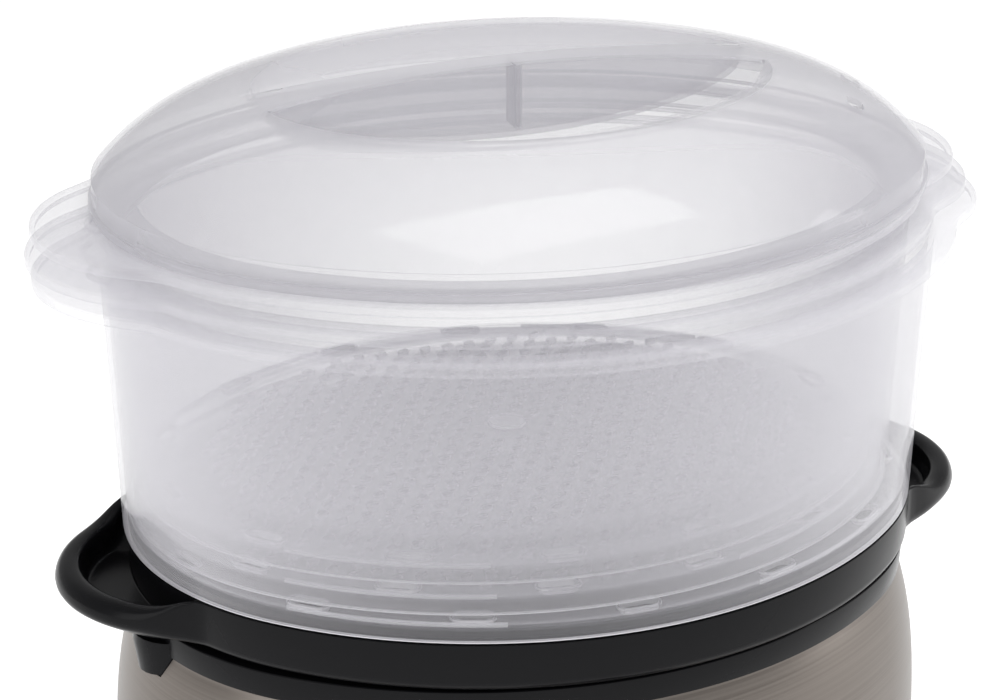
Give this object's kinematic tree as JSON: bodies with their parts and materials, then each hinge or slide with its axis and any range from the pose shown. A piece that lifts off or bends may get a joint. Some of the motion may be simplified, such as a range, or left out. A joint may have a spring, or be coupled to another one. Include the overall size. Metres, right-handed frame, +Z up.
{
  "type": "electric food steamer",
  "caption": "Oval electric food steamer: steel-banded base with timer knob, drip tray with two handles, nested clear baskets and a domed lid with a sunken grip.",
  "frame": {"origin": "centre of the footprint, on the surface the feet stand on", "axes": "+Z up, +X towards the right-hand handle, -Y towards the front with the timer"},
  "size_m": [0.3035, 0.2333, 0.2736],
  "materials": {
    "clear_lid": "clear, faintly milky, polished",
    "clear_basket": "clear, faintly milky, moulded",
    "black_gloss": "polished",
    "black_plastic": "fine texture",
    "white_plastic": "moulded",
    "cream_plastic": "moulded",
    "steel": "brushed round the body",
    "plated_steel": "zinc plated",
    "cast_alloy": "cast, satin top",
    "seal_rubber": "soft silicone",
    "black_rubber": "matt",
    "amber_lens": "clear tint",
    "neon_glass": "clear",
    "wire_sleeve": "glass-fibre sleeve"
  },
  "bodies": {
    "base": {"water_reservoir": "black_gloss", "steel_shell": "steel", "base_pan": "black_plastic", "rubber_feet": "black_rubber", "heating_element": "cast_alloy", "heater_seal": "seal_rubber", "heater_bracket": "plated_steel", "bracket_screws": "plated_steel", "thermostat": "cream_plastic", "thermal_fuse": "plated_steel", "timer_movement": "cream_plastic", "timer_screws": "plated_steel", "dial_plate": "black_plastic", "lamp_lens": "amber_lens", "neon_lamp": "neon_glass", "terminal_block": "cream_plastic", "terminal_screws": "plated_steel", "wiring": "wire_sleeve", "cord_gland": "black_rubber", "pan_screws": "plated_steel"},
    "timer": {"timer_knob": "black_gloss", "timer_shaft": "plated_steel"},
    "sleeve": {"steam_sleeve": "white_plastic"},
    "tray": {"drip_tray": "black_gloss"},
    "lower_basket": {"basket_bottom": "clear_basket"},
    "middle_basket": {"basket_middle": "clear_basket"},
    "upper_basket": {"basket_top": "clear_basket"},
    "cover": {"lid": "clear_lid"}
  },
  "joints": [
    {"name": "timer_turn", "type": "hinge", "parent": "base", "child": "timer", "pos_m": [0, -0.1, 0.06], "axis": [0, 1, 0], "range_deg": [0, 300]},
    {"name": "sleeve_lift", "type": "slide", "parent": "base", "child": "sleeve", "axis": [0, 0, 1], "range_m": [0, 0.004]},
    {"name": "tray_lift", "type": "slide", "parent": "base", "child": "tray", "axis": [0, 0, 1], "range_m": [0, 0.06]},
    {"name": "lower_basket_lift", "type": "slide", "parent": "tray", "child": "lower_basket", "axis": [0, 0, 1], "range_m": [0, 0.1]},
    {"name": "middle_basket_lift", "type": "slide", "parent": "lower_basket", "child": "middle_basket", "axis": [0, 0, 1], "range_m": [0, 0.12]},
    {"name": "upper_basket_lift", "type": "slide", "parent": "middle_basket", "child": "upper_basket", "axis": [0, 0, 1], "range_m": [0, 0.12]},
    {"name": "lid_lift", "type": "slide", "parent": "upper_basket", "child": "cover", "axis": [0, 0, 1], "range_m": [0, 0.1]}
  ]
}
